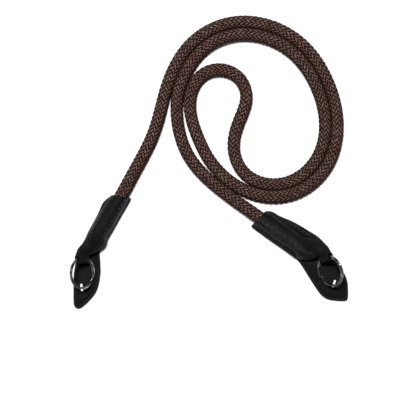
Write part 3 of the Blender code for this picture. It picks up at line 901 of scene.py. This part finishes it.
def makeRing(name, material):
    radius = (splitRing["outer"] - splitRing["wire"]) / 2
    level = (splitRing["turn"] + splitRing["split"]) / 2
    start, stop = splitRing["jog"], 4 * math.pi - splitRing["jog"]
    count = round(splitRing["steps"] * (stop - start) / (2 * math.pi))
    section = wireSection()
    placed = (loopFrame(ends[name]) @ Matrix.Translation((0, splitRing["seat"] - radius, 0))
              @ Matrix.Rotation(splitRing["ends"], 4, "Z"))
    points = []
    for k in range(-1, count + 2):
        angle = start + (stop - start) * min(max(k, 0), count) / count
        shrink = splitRing["bluntEnd"] if k in (-1, count + 1) else 1.0
        angle += splitRing["bluntTurn"] * ((k > count) - (k < 0))
        t = min(max((angle - 2 * math.pi + splitRing["jog"]) / (2 * splitRing["jog"]), 0), 1)
        z = level * (2 * t * t * (3 - 2 * t) - 1)
        for r, rise in section:
            reach = radius + r * shrink
            points.append(placed @ Vector((math.cos(angle) * reach, math.sin(angle) * reach,
                                           z + rise * shrink)))
    sides = len(section)
    faces = gridFaces(count + 3, sides, wrapped=True).tolist()
    last = (count + 2) * sides
    faces += [list(range(sides))[::-1], list(range(last, last + sides))]
    ring = pieceFrom("splitRing_" + name, np.array(points), faces, material)
    facesOutward(ring)
    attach(ring, "ring_" + name)
    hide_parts("ring_" + name)


steel = makeSteelMaterial()
for endName in ends:
    makeRing(endName, steel)
print("rings turned")


# rim and slotRim, from below to the top and back down the slot: distance from the outline,
# height, how much it is painted as a cut edge. A fine groove runs along the top of the rim.
pad = dict(
    slotWidth=0.0015,
    slotLength=0.0050,
    slotSteps=12,             # in each round end
    outlineSteps=8,           # between two points of the outline
    sharpAngle=math.radians(50),
    rim=((0.00030, 0.0, 1.0), (0.00006, 0.00018, 1.0), (0.0, 0.0004, 1.0), (0.0, 0.0012, 1.0),
         (0.00006, 0.00142, 1.0), (0.0003, 0.0016, 1.0), (0.00125, 0.0016, 1.0),
         (0.00140, 0.00149, 1.0), (0.00155, 0.0016, 0.0)),
    slotRim=((0.0005, 0.0016, 0.3), (0.00015, 0.00152, 1.0), (0.0, 0.0013, 1.0), (0.0, 0.0, 1.0)),
    left=dict(slot=(-0.0800, -0.0220), turn=math.radians(8), outline=[
        (-0.0686, 0.0076), (-0.0688, 0.0012), (-0.0684, -0.0060), (-0.0682, -0.0130),
        (-0.0694, -0.0206), (-0.0720, -0.0266), (-0.0772, -0.0324), (-0.0806, -0.0349),
        (-0.0828, -0.0352), (-0.0844, -0.0339), (-0.0850, -0.0310), (-0.0850, -0.0220),
        (-0.0847, -0.0130), (-0.0832, -0.0050), (-0.0802, 0.0024), (-0.0770, 0.0086),
        (-0.0748, 0.0094),
    ]),
    right=dict(slot=(0.0772, -0.0196), turn=math.radians(-18), outline=[
        (0.0536, -0.0036), (0.0572, -0.0088), (0.0618, -0.0162), (0.0666, -0.0236),
        (0.0694, -0.0270), (0.0728, -0.0293), (0.0770, -0.0302), (0.0832, -0.0306),
        (0.0853, -0.0298), (0.08594, -0.0276), (0.08594, -0.0232), (0.0856, -0.0186),
        (0.0836, -0.0136), (0.0804, -0.0082), (0.0766, -0.0028), (0.0716, 0.0022),
        (0.0640, 0.0036), (0.0580, 0.0020), (0.0546, -0.0006),
    ]),
)


def roundOutline(points, steps):
    # A closed Catmull-Rom line through the outline's points.
    points = np.array(points)
    read = []
    for k in range(len(points)):
        a, b, c, d = (points[(k + j) % len(points)] for j in (-1, 0, 1, 2))
        t = (np.arange(steps) / steps)[:, None]
        read.append(0.5 * (2 * b + (c - a) * t + (2 * a - 5 * b + 4 * c - d) * t ** 2
                           + (3 * b - a - 3 * c + d) * t ** 3))
    return np.concatenate(read)


def insetOutline(outline, distance):
    ahead = np.roll(outline, -1, axis=0) - np.roll(outline, 1, axis=0)
    ahead /= np.linalg.norm(ahead, axis=1)[:, None]
    inward = np.column_stack([-ahead[:, 1], ahead[:, 0]])
    after = np.roll(outline, -1, axis=0)
    area = np.sum(outline[:, 0] * after[:, 1] - outline[:, 1] * after[:, 0])
    return outline + inward * math.copysign(distance, area)


def slotOutline(place, turn, grow):
    roundEnd = pad["slotWidth"] / 2
    straight = pad["slotLength"] / 2 - roundEnd
    rim = []
    for middle, first in ((straight, 0), (-straight, math.pi)):
        for step in range(pad["slotSteps"] + 1):
            angle = first + math.pi * step / pad["slotSteps"]
            rim.append((math.cos(angle) * (roundEnd + grow),
                        middle + math.sin(angle) * (roundEnd + grow)))
    rim = np.array(rim)
    turned = np.column_stack([rim[:, 0] * math.cos(turn) - rim[:, 1] * math.sin(turn),
                              rim[:, 0] * math.sin(turn) + rim[:, 1] * math.cos(turn)])
    return turned + np.array(place)


def makePad(name, material):
    outline = roundOutline(pad[name]["outline"], pad["outlineSteps"])
    bm = bmesh.new()
    edgeLayer = bm.verts.layers.float.new("edge")

    def addLoop(points, height, painted):
        loopVerts = []
        for point in points:
            vert = bm.verts.new((*point, height))
            vert[edgeLayer] = painted
            loopVerts.append(vert)
        return loopVerts

    def bridge(near, far):
        for k in range(len(near)):
            after = (k + 1) % len(near)
            bm.faces.new((near[k], near[after], far[after], far[k]))

    def fill(first, second):
        pairs = [(rim[k - 1], rim[k]) for rim in (first, second) for k in range(len(rim))]
        edges = [bm.edges.get(pair) or bm.edges.new(pair) for pair in pairs]
        bmesh.ops.triangle_fill(bm, use_beauty=True, edges=edges)

    outer = [addLoop(insetOutline(outline, inset), height, painted)
             for inset, height, painted in pad["rim"]]
    inner = [addLoop(slotOutline(pad[name]["slot"], pad[name]["turn"], grow), height, painted)
             for grow, height, painted in pad["slotRim"]]
    for loops in (outer, inner):
        for near, far in zip(loops, loops[1:]):
            bridge(near, far)
    fill(outer[-1], inner[0])
    fill(outer[0], inner[-1])
    bmesh.ops.recalc_face_normals(bm, faces=bm.faces[:])
    mesh = bpy.data.meshes.new("guardPad_" + name)
    bm.to_mesh(mesh)
    bm.free()
    mesh.shade_smooth()
    mesh.set_sharp_from_angle(angle=pad["sharpAngle"])
    mesh.materials.append(material)
    item = bpy.data.objects.new("guardPad_" + name, mesh)
    bpy.context.scene.collection.objects.link(item)
    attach(item, "strap")
    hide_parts("pad_" + name)


for endName in ends:
    makePad(endName, padLeather)
print("pads cut")


studio = dict(
    floorSize=12.0,
    floorColour=(0.92, 0.92, 0.92),
    sky=(1.0, 0.88, 0.78),
    skyStrength=0.035,
    keyPower=65.0,
    keySize=0.50,
    keyPlace=(-0.24, 0.72, 2.1),
    fillPower=1.6,
    fillSize=0.5,
    fillPlace=(-0.9, -0.75, 0.45),
    aim=(0, 0.05, 0),         # where both lights point
)


def makeFloor():
    material = newMaterial("paleTable", Base_Color=(*studio["floorColour"], 1.0), Roughness=0.7,
                           Specular_IOR_Level=0.2)[0]
    half = studio["floorSize"] / 2
    corners = [(-half, -half, 0), (half, -half, 0), (half, half, 0), (-half, half, 0)]
    floor = pieceFrom("tableTop", corners, [[0, 1, 2, 3]], material)


def addLight(name, place, power, size):
    data = bpy.data.lights.new(name, "AREA")
    data.shape = "DISK"
    data.size = size
    data.energy = power
    item = bpy.data.objects.new(name, data)
    item.location = place
    towards = Vector(studio["aim"]) - Vector(place)
    item.rotation_euler = towards.to_track_quat("-Z", "Y").to_euler()
    bpy.context.scene.collection.objects.link(item)


def makeStudio():
    makeFloor()
    addLight("keyLight", studio["keyPlace"], studio["keyPower"], studio["keySize"])
    addLight("fillLight", studio["fillPlace"], studio["fillPower"], studio["fillSize"])
    world = bpy.data.worlds.new("studio")
    world.use_nodes = True
    background = world.node_tree.nodes["Background"]
    background.inputs["Color"].default_value = (*studio["sky"], 1.0)
    background.inputs["Strength"].default_value = studio["skyStrength"]
    bpy.context.scene.world = world
    bpy.context.scene.view_settings.view_transform = "Standard"


makeStudio()
print("studio lit")
